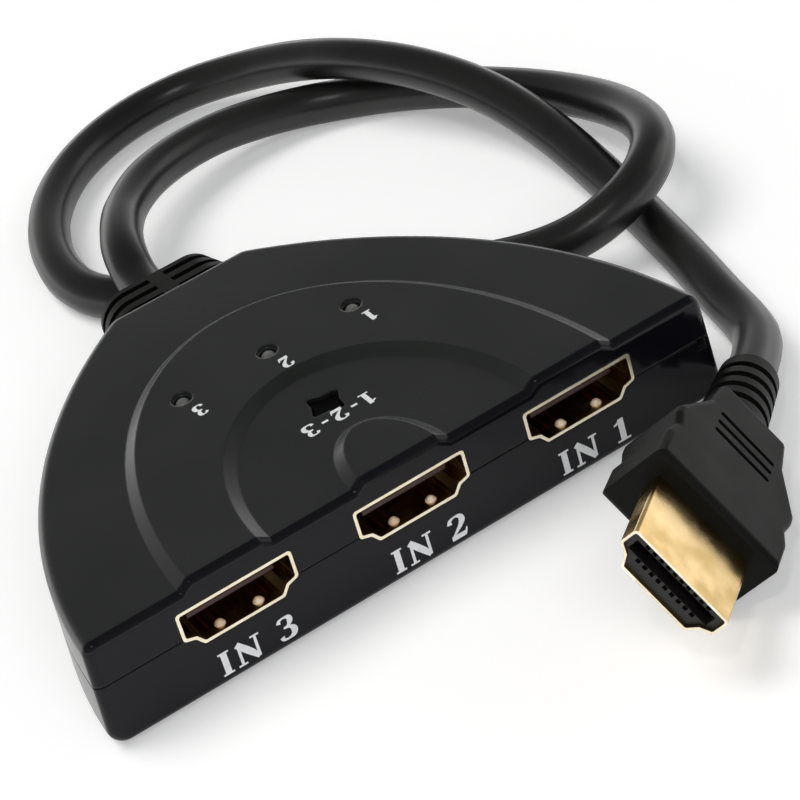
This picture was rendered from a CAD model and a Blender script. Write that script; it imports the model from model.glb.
import bpy
import bmesh
import numpy as np
from math import radians, pi
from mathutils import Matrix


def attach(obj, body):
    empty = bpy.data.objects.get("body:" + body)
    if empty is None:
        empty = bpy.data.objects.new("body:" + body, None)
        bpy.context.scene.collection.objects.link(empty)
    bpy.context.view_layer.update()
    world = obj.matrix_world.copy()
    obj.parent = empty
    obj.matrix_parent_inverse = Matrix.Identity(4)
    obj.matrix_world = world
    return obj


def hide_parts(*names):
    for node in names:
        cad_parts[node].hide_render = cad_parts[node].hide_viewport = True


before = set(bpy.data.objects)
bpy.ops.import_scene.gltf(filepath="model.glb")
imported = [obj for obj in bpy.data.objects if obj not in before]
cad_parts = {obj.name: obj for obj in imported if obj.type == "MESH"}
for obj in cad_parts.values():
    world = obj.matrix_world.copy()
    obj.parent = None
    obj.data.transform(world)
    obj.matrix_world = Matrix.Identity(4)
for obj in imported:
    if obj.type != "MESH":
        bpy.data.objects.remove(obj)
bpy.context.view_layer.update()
print("frame loaded with", len(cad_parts), "nodes")

buttonNodes = ("select_button", "switch_stem")


# The star and its stem move, all the rest stands
def bodyFor(node):
    return "button" if node in buttonNodes else "housing"


# Puts a finished mesh in the scene, on its body, in the place of the nodes named
def addPiece(name, mesh, body, slot, *nodes):
    piece = bpy.data.objects.new(name, mesh)
    bpy.context.scene.collection.objects.link(piece)
    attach(piece, body)
    if nodes:
        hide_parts(*nodes)
    return piece


# Camera, standing low to the left of the box's front
cameraSetup = {"place": (-0.098533, -0.277585, 0.208668), "turn": (54.2088, 13.8368, -31.6856),
               "lens": 135.0705, "sensor": 36.0, "near": 0.01, "far": 20.0}
lensData = bpy.data.cameras.new("camera")
lensData.lens = cameraSetup["lens"]
lensData.sensor_width = cameraSetup["sensor"]
lensData.clip_start, lensData.clip_end = cameraSetup["near"], cameraSetup["far"]
camera = bpy.data.objects.new("camera", lensData)
camera.location = cameraSetup["place"]
camera.rotation_euler = [radians(a) for a in cameraSetup["turn"]]
bpy.context.scene.collection.objects.link(camera)
bpy.context.scene.camera = camera
print("camera placed")

# Output cable: one free lead from the relief in the back wall to the plug. Its points come from a fit
# to the cable's middle line in the photograph, within 8.7 mm of the CAD's route, and not from a choice
# by hand. The length is the CAD cable's
cableSetup = {
    "diameter": 0.0059, "length": 0.429, "exit": (0.0, 0.036, 0.0076), "ringPoints": 5, "stepsPerPoint": 14,
    "points": [
        (0.0, 0.036, 0.0076), (0.0, 0.0416, 0.0076), (0.00072, 0.04655, 0.00959),
        (0.003, 0.05278, 0.00956), (0.0072, 0.06023, 0.00848), (0.0147, 0.06739, 0.00731),
        (0.02562, 0.07148, 0.00587), (0.03653, 0.07142, 0.00399), (0.04474, 0.06832, 0.00295),
        (0.05139, 0.06254, 0.0032), (0.058, 0.05327, 0.00395), (0.06338, 0.04112, 0.00503),
        (0.06547, 0.02808, 0.00697), (0.06394, 0.01626, 0.00925), (0.05926, 0.00779, 0.01023),
        (0.05178, 0.00403, 0.00882), (0.04326, 0.00576, 0.00594), (0.0343, 0.01402, 0.00367),
        (0.02494, 0.02578, 0.00297), (0.01523, 0.03652, 0.00299), (0.00592, 0.04379, 0.00299),
        (-0.00116, 0.04881, 0.00297), (-0.00433, 0.05547, 0.00325), (-0.00344, 0.06533, 0.00365),
        (0.00131, 0.07659, 0.0035), (0.00942, 0.08566, 0.00324), (0.01981, 0.08999, 0.00359),
        (0.0302, 0.08908, 0.00428), (0.03805, 0.08334, 0.00569), (0.04298, 0.07463, 0.00818),
        (0.04694, 0.06442, 0.01022), (0.05137, 0.05377, 0.0104), (0.05541, 0.04312, 0.0086),
        (0.05743, 0.03223, 0.00579), (0.05721, 0.02044, 0.00368), (0.05551, 0.00747, 0.00295),
        (0.05322, -0.00529, 0.00303), (0.05105, -0.01519, 0.00299), (0.04991, -0.02194, 0.00297),
        (0.04746, -0.02818, 0.00383), (0.04109, -0.03434, 0.00539)],
}


# A round lead along one smooth spline that the route's points steer
def makeCable(setup):
    curve = bpy.data.curves.new("outputCable", "CURVE")
    curve.dimensions = "3D"
    curve.bevel_depth = 1.0  # times each point's radius
    curve.bevel_resolution = setup["ringPoints"]
    curve.resolution_u = setup["stepsPerPoint"]
    curve.use_fill_caps = True
    spline = curve.splines.new("NURBS")
    spline.points.add(len(setup["points"]) - 1)
    for point, place in zip(spline.points, setup["points"]):
        point.co = (*place, 1.0)
        point.radius = setup["diameter"] / 2
    spline.order_u = 3
    spline.use_endpoint_u = True
    lead = bpy.data.objects.new("outputCable", curve)
    bpy.context.scene.collection.objects.link(lead)
    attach(lead, "housing")
    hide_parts("cable")
    return lead


outputCable = makeCable(cableSetup)
print("cable laid")

# Floor, room and lamps
roomSetup = {
    "floorSize": 8.0, "floorColour": (0.92, 0.92, 0.925), "floorLift": 0.25, "farLift": 1.0,
    "nearEdge": 0.08, "farEdge": 0.5,
    "horizon": 2.0, "low": 0.48, "middle": 0.23, "zenith": 0.12,
    "lamps": [
        {"name": "topLamp", "place": (-0.35, 0.25, 0.95), "aim": (0.0, 0.02, 0.0), "size": 0.7,
         "watts": 5.2, "colour": (1.0, 0.99, 0.97), "shine": False},
        {"name": "frontLamp", "place": (-0.15, -0.9, 0.65), "aim": (0.0, 0.0, 0.01), "size": 0.6,
         "watts": 3.0, "colour": (0.97, 0.98, 1.0), "shine": False},
        {"name": "sparkLamp", "place": (-0.25, -0.45, 0.75), "aim": (0.0, 0.0, 0.01), "size": 0.09,
         "watts": 0.7, "colour": (1.0, 1.0, 1.0), "shine": True},
        {"name": "sideLamp", "place": (0.75, -0.05, 0.3), "aim": (0.03, 0.0, 0.01), "size": 0.5,
         "watts": 0.5, "colour": (1.0, 1.0, 0.98), "shine": True}],
}


# Pale floor that glows a little to the eye and in gloss, more so far off, and keeps its shadows.
# The sky is white to the camera and darker overhead to all else
def makeRoom(setup):
    half = setup["floorSize"] / 2
    mesh = bpy.data.meshes.new("floor")
    mesh.from_pydata([(-half, -half, 0), (half, -half, 0), (half, half, 0), (-half, half, 0)], [],
                     [(0, 1, 2, 3)])
    floor = bpy.data.objects.new("floor", mesh)
    bpy.context.scene.collection.objects.link(floor)
    paint = bpy.data.materials.new("floorPaint")
    paint.use_nodes = True
    tree = paint.node_tree
    tree.nodes.clear()
    matt = tree.nodes.new("ShaderNodeBsdfDiffuse")
    matt.inputs["Color"].default_value = (*setup["floorColour"], 1)
    glow = tree.nodes.new("ShaderNodeEmission")
    rays = tree.nodes.new("ShaderNodeLightPath")
    either = tree.nodes.new("ShaderNodeMath")
    either.operation = "MAXIMUM"
    also = tree.nodes.new("ShaderNodeMath")
    also.operation = "MAXIMUM"
    lift = tree.nodes.new("ShaderNodeMath")
    lift.operation = "MULTIPLY"
    spot = tree.nodes.new("ShaderNodeTexCoord")
    reach = tree.nodes.new("ShaderNodeVectorMath")
    reach.operation = "LENGTH"
    spread = tree.nodes.new("ShaderNodeMapRange")
    spread.interpolation_type = "SMOOTHSTEP"
    for socket, value in (("From Min", "nearEdge"), ("From Max", "farEdge"),
                          ("To Min", "floorLift"), ("To Max", "farLift")):
        spread.inputs[socket].default_value = setup[value]
    tree.links.new(spot.outputs["Object"], reach.inputs[0])
    tree.links.new(reach.outputs["Value"], spread.inputs["Value"])
    tree.links.new(spread.outputs["Result"], lift.inputs[1])
    both = tree.nodes.new("ShaderNodeAddShader")
    out = tree.nodes.new("ShaderNodeOutputMaterial")
    tree.links.new(rays.outputs["Is Camera Ray"], either.inputs[0])
    tree.links.new(rays.outputs["Is Glossy Ray"], either.inputs[1])
    tree.links.new(either.outputs[0], also.inputs[0])
    tree.links.new(rays.outputs["Is Transmission Ray"], also.inputs[1])
    tree.links.new(also.outputs[0], lift.inputs[0])
    tree.links.new(lift.outputs[0], glow.inputs["Strength"])
    tree.links.new(matt.outputs[0], both.inputs[0])
    tree.links.new(glow.outputs[0], both.inputs[1])
    tree.links.new(both.outputs[0], out.inputs["Surface"])
    mesh.materials.append(paint)

    world = bpy.data.worlds.new("room")
    bpy.context.scene.world = world
    world.use_nodes = True
    tree = world.node_tree
    tree.nodes.clear()
    place = tree.nodes.new("ShaderNodeTexCoord")
    parts = tree.nodes.new("ShaderNodeSeparateXYZ")
    ramp = tree.nodes.new("ShaderNodeValToRGB")
    ramp.color_ramp.elements[0].position = 0.0
    ramp.color_ramp.elements[0].color = (*[setup["horizon"]] * 3, 1)
    ramp.color_ramp.elements[1].position = 1.0
    ramp.color_ramp.elements[1].color = (*[setup["zenith"]] * 3, 1)
    for part, level in ((0.22, "low"), (0.55, "middle")):
        step = ramp.color_ramp.elements.new(part)
        step.color = (*[setup[level]] * 3, 1)
    rays = tree.nodes.new("ShaderNodeLightPath")
    pick = tree.nodes.new("ShaderNodeMixShader")
    sky = tree.nodes.new("ShaderNodeBackground")
    white = tree.nodes.new("ShaderNodeBackground")
    white.inputs["Color"].default_value = (1, 1, 1, 1)
    out = tree.nodes.new("ShaderNodeOutputWorld")
    tree.links.new(place.outputs["Generated"], parts.inputs[0])
    tree.links.new(parts.outputs["Z"], ramp.inputs["Fac"])
    tree.links.new(ramp.outputs["Color"], sky.inputs["Color"])
    tree.links.new(rays.outputs["Is Camera Ray"], pick.inputs["Fac"])
    tree.links.new(sky.outputs[0], pick.inputs[1])
    tree.links.new(white.outputs[0], pick.inputs[2])
    tree.links.new(pick.outputs[0], out.inputs["Surface"])

    for lamp in setup["lamps"]:
        data = bpy.data.lights.new(lamp["name"], "AREA")
        data.shape = "DISK"
        data.size = lamp["size"]
        data.energy = lamp["watts"]
        data.color = lamp["colour"]
        shown = bpy.data.objects.new(lamp["name"], data)
        shown.location = lamp["place"]
        way = np.subtract(lamp["aim"], lamp["place"])
        shown.rotation_euler = (np.arccos(-way[2] / np.linalg.norm(way)), 0, np.arctan2(-way[0], way[1]))
        shown.visible_glossy = lamp["shine"]
        bpy.context.scene.collection.objects.link(shown)


makeRoom(roomSetup)
bpy.context.scene.view_settings.view_transform = "Standard"
print("room lit")

# Finishes. Colours are linear, lengths in metres, cells per metre for the grain
finishes = {
    "caseGloss": {"dark": (0.0095, 0.0112, 0.01), "light": (0.0128, 0.0144, 0.0132),
                  "cloud": 60, "rough": (0.22, 0.28),
                  "grain": 9000, "relief": 0.000004, "specular": 0.45, "soften": 0.00035},
    "frontGloss": {"dark": (0.004, 0.004, 0.006), "light": (0.006, 0.006, 0.008),
                   "cloud": 90, "rough": (0.1, 0.16),
                   "grain": 5000, "relief": 0.000002, "specular": 0.2, "soften": 0.0002},
    "buttonBlack": {"dark": (0.001, 0.001, 0.001), "light": (0.002, 0.002, 0.002),
                    "cloud": 300, "rough": (0.35, 0.45),
                    "grain": 9000, "relief": 0.000003, "specular": 0.04},
    "mouldedMatt": {"dark": (0.003, 0.0032, 0.0027), "light": (0.005, 0.0052, 0.0045),
                    "cloud": 180, "rough": (0.4, 0.52),
                    "grain": 7000, "relief": 0.000014, "specular": 0.1},
    "cableSatin": {"dark": (0.006, 0.0066, 0.006), "light": (0.01, 0.0106, 0.0095),
                   "cloud": 70, "rough": (0.27, 0.34),
                   "grain": 4000, "relief": 0.000008, "specular": 0.5},
    "goldPlate": {"dark": (0.62, 0.42, 0.16), "light": (0.86, 0.64, 0.33),
                  "cloud": 260, "rough": (0.16, 0.3),
                  "grain": 3000, "relief": 0.000003, "metal": 1.0},
    "creamPlate": {"dark": (0.84, 0.74, 0.53), "light": (0.98, 0.91, 0.74),
                   "cloud": 400, "rough": (0.24, 0.34),
                   "grain": 6000, "relief": 0.000002, "metal": 1.0, "soften": 0.00008},
    "springCream": {"dark": (0.84, 0.62, 0.42), "light": (0.98, 0.82, 0.64),
                    "cloud": 400, "rough": (0.24, 0.34),
                    "grain": 6000, "relief": 0.000002, "metal": 0.1},
    "padRubber": {"dark": (0.008, 0.008, 0.008), "light": (0.014, 0.014, 0.014),
                  "cloud": 500, "rough": (0.6, 0.75),
                  "grain": 6000, "relief": 0.00001, "specular": 0.35},
    "blockBlack": {"dark": (0.007, 0.006, 0.006), "light": (0.012, 0.01, 0.01),
                   "cloud": 500, "rough": (0.3, 0.42),
                   "grain": 9000, "relief": 0.000003, "specular": 0.4},
    "socketRed": {"dark": (0.022, 0.003, 0.002), "light": (0.035, 0.005, 0.003),
                  "cloud": 500, "rough": (0.26, 0.36),
                  "grain": 9000, "relief": 0.000003, "specular": 0.5},
    "smokedLens": {"dark": (0.1, 0.1, 0.095), "light": (0.16, 0.16, 0.15),
                   "cloud": 900, "rough": (0.08, 0.14),
                   "grain": 9000, "relief": 0.000001, "specular": 0.6},
    "printWhite": {"dark": (0.76, 0.77, 0.78), "light": (0.84, 0.85, 0.86),
                   "cloud": 1500, "rough": (0.42, 0.5),
                   "grain": 15000, "relief": 0.000004, "specular": 0.3},
    "boardRed": {"dark": (0.045, 0.006, 0.004), "light": (0.075, 0.01, 0.006),
                 "cloud": 400, "rough": (0.3, 0.4),
                 "grain": 2500, "relief": 0.00001, "specular": 0.5},
    "tinned": {"dark": (0.5, 0.5, 0.49), "light": (0.68, 0.68, 0.66),
               "cloud": 900, "rough": (0.28, 0.42),
               "grain": 4000, "relief": 0.000006, "metal": 1.0},
    "chipBlack": {"dark": (0.01, 0.01, 0.011), "light": (0.018, 0.018, 0.019),
                  "cloud": 900, "rough": (0.55, 0.7),
                  "grain": 12000, "relief": 0.000008, "specular": 0.4},
    "capacitorTan": {"dark": (0.3, 0.2, 0.1), "light": (0.42, 0.29, 0.16),
                     "cloud": 1200, "rough": (0.35, 0.5),
                     "grain": 6000, "relief": 0.000005, "specular": 0.5},
    "resistorDark": {"dark": (0.015, 0.015, 0.017), "light": (0.03, 0.03, 0.034),
                     "cloud": 1500, "rough": (0.3, 0.45),
                     "grain": 6000, "relief": 0.000004, "specular": 0.5},
    "coreCoat": {"dark": (0.5, 0.46, 0.38), "light": (0.66, 0.62, 0.54),
                 "cloud": 700, "rough": (0.4, 0.5),
                 "grain": 5000, "relief": 0.000004, "specular": 0.5},
    "switchCase": {"dark": (0.02, 0.02, 0.022), "light": (0.032, 0.032, 0.034),
                   "cloud": 700, "rough": (0.4, 0.52),
                   "grain": 8000, "relief": 0.000006, "specular": 0.5},
    "screwSteel": {"dark": (0.16, 0.16, 0.17), "light": (0.27, 0.27, 0.28),
                   "cloud": 900, "rough": (0.3, 0.44),
                   "grain": 6000, "relief": 0.000005, "metal": 1.0},
}
finishSetup = {"cloudDetail": 3.0, "grainDetail": 2.0, "shadeSpan": (0.35, 0.65), "roughSpan": (0.3, 0.7),
               "softenSamples": 6}


# Colour drifts between two shades, roughness drifts with it, a fine grain stands up a little,
# and edges are rounded in the shading by the soften radius
def makeFinish(name, look):
    material = bpy.data.materials.new(name)
    material.use_nodes = True
    nodes, links = material.node_tree.nodes, material.node_tree.links
    shader = nodes["Principled BSDF"]
    shader.inputs["Metallic"].default_value = look.get("metal", 0.0)
    shader.inputs["Specular IOR Level"].default_value = look.get("specular", 0.5)
    place = nodes.new("ShaderNodeTexCoord")
    cloud = nodes.new("ShaderNodeTexNoise")
    cloud.inputs["Scale"].default_value = look["cloud"]
    cloud.inputs["Detail"].default_value = finishSetup["cloudDetail"]
    links.new(place.outputs["Object"], cloud.inputs["Vector"])
    shade = nodes.new("ShaderNodeValToRGB")
    for stop, part, key in zip(shade.color_ramp.elements, finishSetup["shadeSpan"], ("dark", "light")):
        stop.position = part
        stop.color = (*look[key], 1)
    links.new(cloud.outputs["Fac"], shade.inputs["Fac"])
    links.new(shade.outputs["Color"], shader.inputs["Base Color"])
    rough = nodes.new("ShaderNodeMapRange")
    rough.inputs["From Min"].default_value, rough.inputs["From Max"].default_value = finishSetup["roughSpan"]
    rough.inputs["To Min"].default_value, rough.inputs["To Max"].default_value = look["rough"]
    links.new(cloud.outputs["Fac"], rough.inputs["Value"])
    links.new(rough.outputs["Result"], shader.inputs["Roughness"])
    grain = nodes.new("ShaderNodeTexNoise")
    grain.inputs["Scale"].default_value = look["grain"]
    grain.inputs["Detail"].default_value = finishSetup["grainDetail"]
    links.new(place.outputs["Object"], grain.inputs["Vector"])
    bump = nodes.new("ShaderNodeBump")
    bump.inputs["Strength"].default_value = 1.0
    bump.inputs["Distance"].default_value = look["relief"]
    links.new(grain.outputs["Fac"], bump.inputs["Height"])
    links.new(bump.outputs["Normal"], shader.inputs["Normal"])
    if "soften" in look:
        soften = nodes.new("ShaderNodeBevel")
        soften.samples = finishSetup["softenSamples"]
        soften.inputs["Radius"].default_value = look["soften"]
        links.new(soften.outputs["Normal"], bump.inputs["Normal"])
    return material


finish = {name: makeFinish(name, look) for name, look in finishes.items()}
outputCable.data.materials.append(finish["cableSatin"])
print("finishes mixed:", len(finish))


# Node names that end in 1, 2 and so on
def numbered(stem, count=3):
    return [stem + "_" + str(i + 1) for i in range(count)]


# Which finish each node wears
nodeFinish = {
    "caseGloss": ["top_shell", "bottom_shell"],
    "boardRed": ["circuit_board"],
    "padRubber": ["rubber_pads"],
    "screwSteel": numbered("case_screw", 4),
    "goldPlate": [*numbered("input_shell"), *numbered("input_contacts"), "plug_shell", "plug_contacts"],
    "socketRed": numbered("input_insulator"),
    "blockBlack": ["plug_insulator"],
    "smokedLens": numbered("indicator_led"),
    "tinned": ["led_leads", "switch_legs", "chip_legs", "memory_legs", "crystal", "switch_cover"],
    "buttonBlack": ["select_button"],
    "switchCase": ["switch_stem", "switch_body"],
    "chipBlack": ["switch_chip", "memory_chip"],
    "capacitorTan": ["capacitors"],
    "resistorDark": ["resistors"],
    "mouldedMatt": ["cable_relief", "plug_overmold", "plug_relief"],
    "cableSatin": ["cable_stub"],
    "coreCoat": ["cable_cores"],
}
for name, nodes in nodeFinish.items():
    for node in nodes:
        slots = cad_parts[node].data.materials
        if len(slots):
            for i in range(len(slots)):
                slots[i] = finish[name]
        else:
            slots.append(finish[name])
print("nodes finished")

# Rigid pieces whose curved faces show: the node's own surface, merged and shaded smooth
smoothPieces = [
    ("top_shell", "lid", "case", 24), ("bottom_shell", "base", "case", 24),
    ("select_button", "starButton", "button", 30), ("cable_relief", "ribbedRelief", "relief", 34),
    ("plug_overmold", "plugBody", "overmold", 30), ("plug_relief", "plugBoot", "overmold", 34),
    ("plug_shell", "plugTube", "gold", 30), ("plug_insulator", "plugBlock", "insulator", 30),
    ("input_shell_1", "socketTube1", "gold", 30), ("input_shell_2", "socketTube2", "gold", 30),
    ("input_shell_3", "socketTube3", "gold", 30), ("indicator_led_1", "lamp1", "lens", 40),
    ("indicator_led_2", "lamp2", "lens", 40), ("indicator_led_3", "lamp3", "lens", 40),
]
joinWithin = 0.000001
frontFace = {"place": -0.0277, "round": 0.00115, "facing": -0.08}
rimFace = {"ports": (0.0, -1.0, 0.0), "plug": (-0.708411, -0.684105, 0.173648), "within": 0.00003,
           "facing": 0.9}


# Middles and normals of a mesh's faces, as two arrays
def faceTable(mesh):
    middles, normals = np.zeros(len(mesh.polygons) * 3), np.zeros(len(mesh.polygons) * 3)
    mesh.polygons.foreach_get("center", middles)
    mesh.polygons.foreach_get("normal", normals)
    return middles.reshape(-1, 3), normals.reshape(-1, 3)


# The node's surface with its loose triangles joined, sharp only where faces meet at more than the angle
def smoothCopy(node, name, slot, angle):
    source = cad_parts[node]
    form = bmesh.new()
    form.from_mesh(source.data)
    bmesh.ops.remove_doubles(form, verts=form.verts, dist=joinWithin)
    mesh = bpy.data.meshes.new(name)
    form.to_mesh(mesh)
    form.free()
    mesh.attributes.remove(mesh.attributes["custom_normal"])
    mesh.polygons.foreach_set("use_smooth", np.ones(len(mesh.polygons), bool))
    mesh.set_sharp_from_angle(angle=radians(angle))
    piece = addPiece(name, mesh, bodyFor(node), slot, node)
    weigh = piece.modifiers.new("evenNormals", "WEIGHTED_NORMAL")
    weigh.keep_sharp = True
    return piece


for node, name, slot, angle in smoothPieces:
    piece = smoothCopy(node, name, slot, angle)
    wanted = next(key for key, nodes in nodeFinish.items() if node in nodes)
    piece.data.materials.clear()
    piece.data.materials.append(finish[wanted])
    middles, normals = faceTable(piece.data)
    if node in ("top_shell", "bottom_shell"):  # the front and its rounded edges are glossier
        piece.data.materials.append(finish["frontGloss"])
        near = middles[:, 1] < frontFace["place"] + frontFace["round"]
        chosen = near & (normals[:, 1] < frontFace["facing"])
        piece.data.polygons.foreach_set("material_index", chosen.astype(np.int32))
    elif node.startswith("input_shell") or node == "plug_shell":  # the plated lip round the mouth is paler
        piece.data.materials.append(finish["creamPlate"])
        way = np.array(rimFace["plug" if node == "plug_shell" else "ports"])
        near = middles @ way > (middles @ way).max() - rimFace["within"]
        chosen = near & (normals @ way > rimFace["facing"])
        piece.data.polygons.foreach_set("material_index", chosen.astype(np.int32))
print("smooth pieces made:", len(smoothPieces))

# Tips of the two lower springs inside each socket, small domes that catch the light
tipSetup = {"aside": 0.0025, "front": -0.0264, "floor": 0.00765, "half": 0.0007, "rise": 0.0006,
            "sunk": 0.00005, "rings": 8, "sides": 28, "pitch": 0.023}


# Dome over a disc: rise times (1 - s squared) at the share s of the way out, closed below
def domeMesh(name, setup, centreX):
    points, faces = [], []
    share = np.linspace(1, 0, setup["rings"] + 1)[:-1]
    turn = np.linspace(0, 2 * pi, setup["sides"], endpoint=False)
    n = setup["sides"]
    for side in (-1, 1):
        base = len(points)
        middle = np.array([centreX + side * setup["aside"], setup["front"], setup["floor"]])
        for s in share:
            level = np.full(n, setup["rise"] * (1 - s ** 2))
            ring = np.stack([setup["half"] * s * np.cos(turn), setup["half"] * s * np.sin(turn), level], 1)
            points += (middle + ring).tolist()
        points += [(middle + [0, 0, setup["rise"]]).tolist(), (middle - [0, 0, setup["sunk"]]).tolist()]
        top, low = len(points) - 2, len(points) - 1
        for i in range(n):
            j = (i + 1) % n
            faces += [(base + k * n + i, base + k * n + j, base + (k + 1) * n + j, base + (k + 1) * n + i)
                      for k in range(len(share) - 1)]
            inner = base + (len(share) - 1) * n
            faces += [(inner + i, inner + j, top), (base + j, base + i, low)]
    mesh = bpy.data.meshes.new(name)
    mesh.from_pydata(points, [], faces)
    mesh.polygons.foreach_set("use_smooth", np.ones(len(mesh.polygons), bool))
    mesh.materials.append(finish["springCream"])
    return mesh


for i in range(3):
    name = "springTips" + str(i + 1)
    addPiece(name, domeMesh(name, tipSetup, (1 - i) * tipSetup["pitch"]), "housing", "gold")
print("spring tips made")

# Lettering: numbers and a plain word, drawn as strokes of changing width
# Each stroke is a row of (across, up, width) in units of the letter's height
strokes = {
    "1": {"wide": 0.6, "lines": [[(0.08, 0.8, 0.05), (0.2, 0.84, 0.08), (0.34, 0.98, 0.07)],
                                 [(0.34, 1.0, 0.2), (0.34, 0.5, 0.2), (0.34, 0.02, 0.2)],
                                 [(0.1, 0.03, 0.06), (0.34, 0.03, 0.06), (0.58, 0.03, 0.06)]]},
    "2": {"wide": 0.66, "lines": [[(0.1, 0.72, 0.17), (0.13, 0.89, 0.11), (0.31, 0.97, 0.06), (0.48, 0.9, 0.15),
                                   (0.53, 0.72, 0.2), (0.44, 0.52, 0.15), (0.24, 0.28, 0.09),
                                   (0.09, 0.1, 0.06)],
                                  [(0.06, 0.08, 0.16), (0.3, 0.08, 0.16), (0.56, 0.08, 0.16)],
                                  [(0.55, 0.05, 0.06), (0.58, 0.16, 0.06), (0.62, 0.3, 0.04)]]},
    "3": {"wide": 0.64, "lines": [[(0.1, 0.8, 0.15), (0.14, 0.92, 0.09), (0.3, 0.97, 0.06), (0.46, 0.9, 0.15),
                                   (0.47, 0.72, 0.18), (0.37, 0.57, 0.08), (0.22, 0.53, 0.05)],
                                  [(0.22, 0.53, 0.05), (0.42, 0.49, 0.1), (0.53, 0.32, 0.2), (0.49, 0.12, 0.17),
                                   (0.3, 0.03, 0.06), (0.13, 0.07, 0.1), (0.09, 0.2, 0.16)]]},
    "I": {"wide": 0.42, "lines": [[(0.2, 0.98, 0.2), (0.2, 0.5, 0.2), (0.2, 0.02, 0.2)],
                                  [(0.02, 0.03, 0.06), (0.2, 0.03, 0.06), (0.38, 0.03, 0.06)],
                                  [(0.02, 0.97, 0.06), (0.2, 0.97, 0.06), (0.38, 0.97, 0.06)]]},
    "N": {"wide": 0.92, "lines": [[(0.17, 0.97, 0.09), (0.17, 0.5, 0.09), (0.17, 0.03, 0.09)],
                                  [(0.14, 0.97, 0.2), (0.45, 0.5, 0.22), (0.74, 0.03, 0.16)],
                                  [(0.75, 0.97, 0.09), (0.75, 0.5, 0.09), (0.75, 0.03, 0.09)],
                                  [(0.02, 0.03, 0.06), (0.17, 0.03, 0.06), (0.32, 0.03, 0.06)],
                                  [(0.6, 0.97, 0.06), (0.75, 0.97, 0.06), (0.9, 0.97, 0.06)]]},
    "-": {"wide": 0.5, "lines": [[(0.08, 0.45, 0.12), (0.23, 0.45, 0.12), (0.38, 0.45, 0.12)]]},
    " ": {"wide": 0.34, "lines": []},
}
letterGrid = {"steps": 9, "bold": 1.25, "thick": 0.00003, "layer": 0.000002, "sunk": 0.00001}


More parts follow.
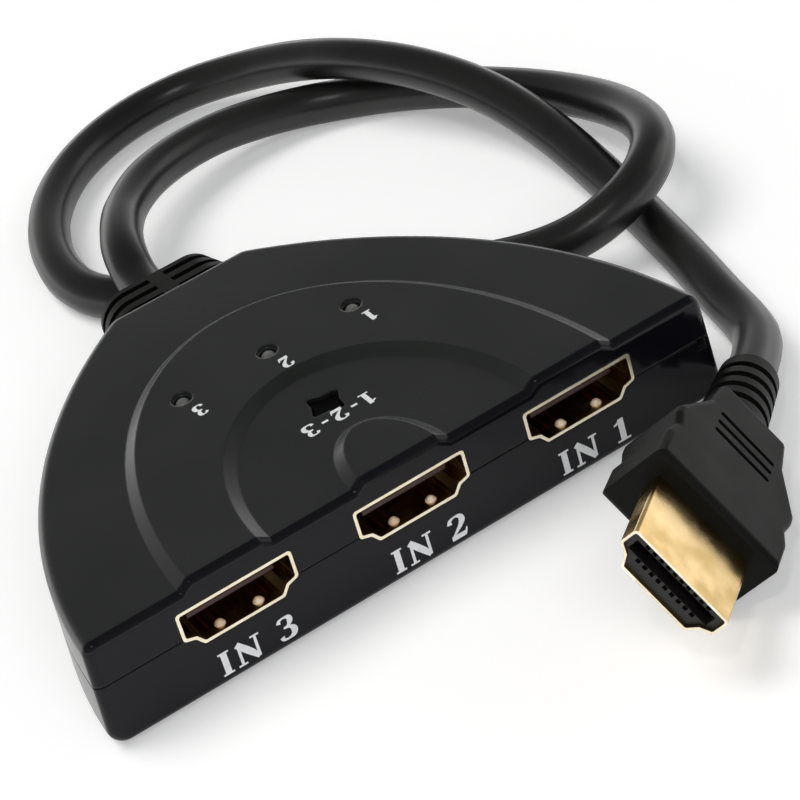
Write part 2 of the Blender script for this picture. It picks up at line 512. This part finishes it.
# Ribbons: a smooth line through each stroke's points (Catmull-Rom), half its width to either side, as thin
# plates, each a hair above the one before so that crossing strokes don't share a plane. Words may be
# stretched across
def letterMesh(name, words, height, gap, placeLetter, stretch=1.0):
    points, faces, start = [], [], 0.0
    wide = sum(strokes[c]["wide"] for c in words) + gap * (len(words) - 1)
    for letter in words:
        for line in strokes[letter]["lines"]:
            knots = np.array(line, float)
            knots[:, 0] += start - wide / 2
            knots[:, 1] -= 0.5
            padded = np.vstack([2 * knots[0] - knots[1], knots, 2 * knots[-1] - knots[-2]])
            t = np.linspace(0, 1, letterGrid["steps"])[:, None]
            spans = [0.5 * ((2 * b) + (c - a) * t + (2 * a - 5 * b + 4 * c - d) * t ** 2
                            + (3 * b - a - 3 * c + d) * t ** 3)
                     for a, b, c, d in zip(padded, padded[1:], padded[2:], padded[3:])]
            path = np.vstack([s[:-1] for s in spans] + [spans[-1][-1:]]) * height
            path[:, 0] *= stretch
            way = np.gradient(path[:, :2], axis=0)
            way /= np.linalg.norm(way, axis=1)[:, None]
            side = np.stack([-way[:, 1], way[:, 0]], 1) * path[:, 2:3] * letterGrid["bold"] / 2
            left, right = path[:, :2] + side, path[:, :2] - side
            base, n = sum(len(p) for p in points), len(path)
            for level in (letterGrid["thick"] + letterGrid["layer"] * len(points) / 4, -letterGrid["sunk"]):
                points.append(placeLetter(left, level))
                points.append(placeLetter(right, level))
            i = np.arange(n - 1) + base
            top = np.stack([i, i + n, i + n + 1, i + 1], 1)
            low = np.stack([i + 2 * n, i + 2 * n + 1, i + 3 * n + 1, i + 3 * n], 1)
            leftWall = np.stack([i, i + 1, i + 2 * n + 1, i + 2 * n], 1)
            rightWall = np.stack([i + n, i + 3 * n, i + 3 * n + 1, i + n + 1], 1)
            last = base + n - 1
            caps = np.array([[base, base + 2 * n, base + 3 * n, base + n],
                             [last, last + n, last + 3 * n, last + 2 * n]])
            faces += [top, low, leftWall, rightWall, caps]
        start += strokes[letter]["wide"] + gap
    mesh = bpy.data.meshes.new(name)
    mesh.from_pydata(np.vstack(points).tolist(), [], np.vstack(faces).tolist())
    form = bmesh.new()
    form.from_mesh(mesh)
    bmesh.ops.recalc_face_normals(form, faces=form.faces)
    form.to_mesh(mesh)
    form.free()
    mesh.materials.append(finish["printWhite"])
    return mesh


# Letters on the lid, read from the back
def onTop(centreX, centreY, level):
    def place(flat, up):
        return np.stack([centreX - flat[:, 0], centreY - flat[:, 1], np.full(len(flat), level + up)], 1)
    return place


# Letters on the front face, read from the front
def onFront(centreX, centreZ, face):
    def place(flat, up):
        return np.stack([centreX + flat[:, 0], np.full(len(flat), face - up), centreZ + flat[:, 1]], 1)
    return place


letterSetup = {"lampNumber": 0.0023, "rowNumber": 0.0024, "portWord": 0.0031, "rowGap": 0.14, "portGap": 0.1,
               "rowStretch": 1.15, "portStretch": 1.22, "lidTop": 0.01577, "lidLow": 0.0148,
               "lampPitch": 0.0119, "lampRow": -0.0006, "lampAside": 0.0005, "row": -0.0135,
               "portPitch": 0.023, "portRow": 0.0034, "portAside": 0.0004}
for i in range(3):
    number = str(i + 1)
    x = (1 - i) * letterSetup["lampPitch"] + letterSetup["lampAside"]
    spot = onTop(x, letterSetup["lampRow"], letterSetup["lidTop"])
    addPiece("lampNumber" + number, letterMesh("lampNumber" + number, number, letterSetup["lampNumber"],
             0.0, spot), "housing", "case")
    x = (1 - i) * letterSetup["portPitch"] + letterSetup["portAside"]
    spot = onFront(x, letterSetup["portRow"], frontFace["place"])
    addPiece("portWord" + number, letterMesh("portWord" + number, "IN " + number, letterSetup["portWord"],
             letterSetup["portGap"], spot, letterSetup["portStretch"]), "housing", "case")
spot = onTop(0.0, letterSetup["row"], letterSetup["lidLow"])
addPiece("rowNumbers", letterMesh("rowNumbers", "1-2-3", letterSetup["rowNumber"], letterSetup["rowGap"], spot,
         letterSetup["rowStretch"]), "housing", "case")
print("lettering drawn")

print("sizes written")
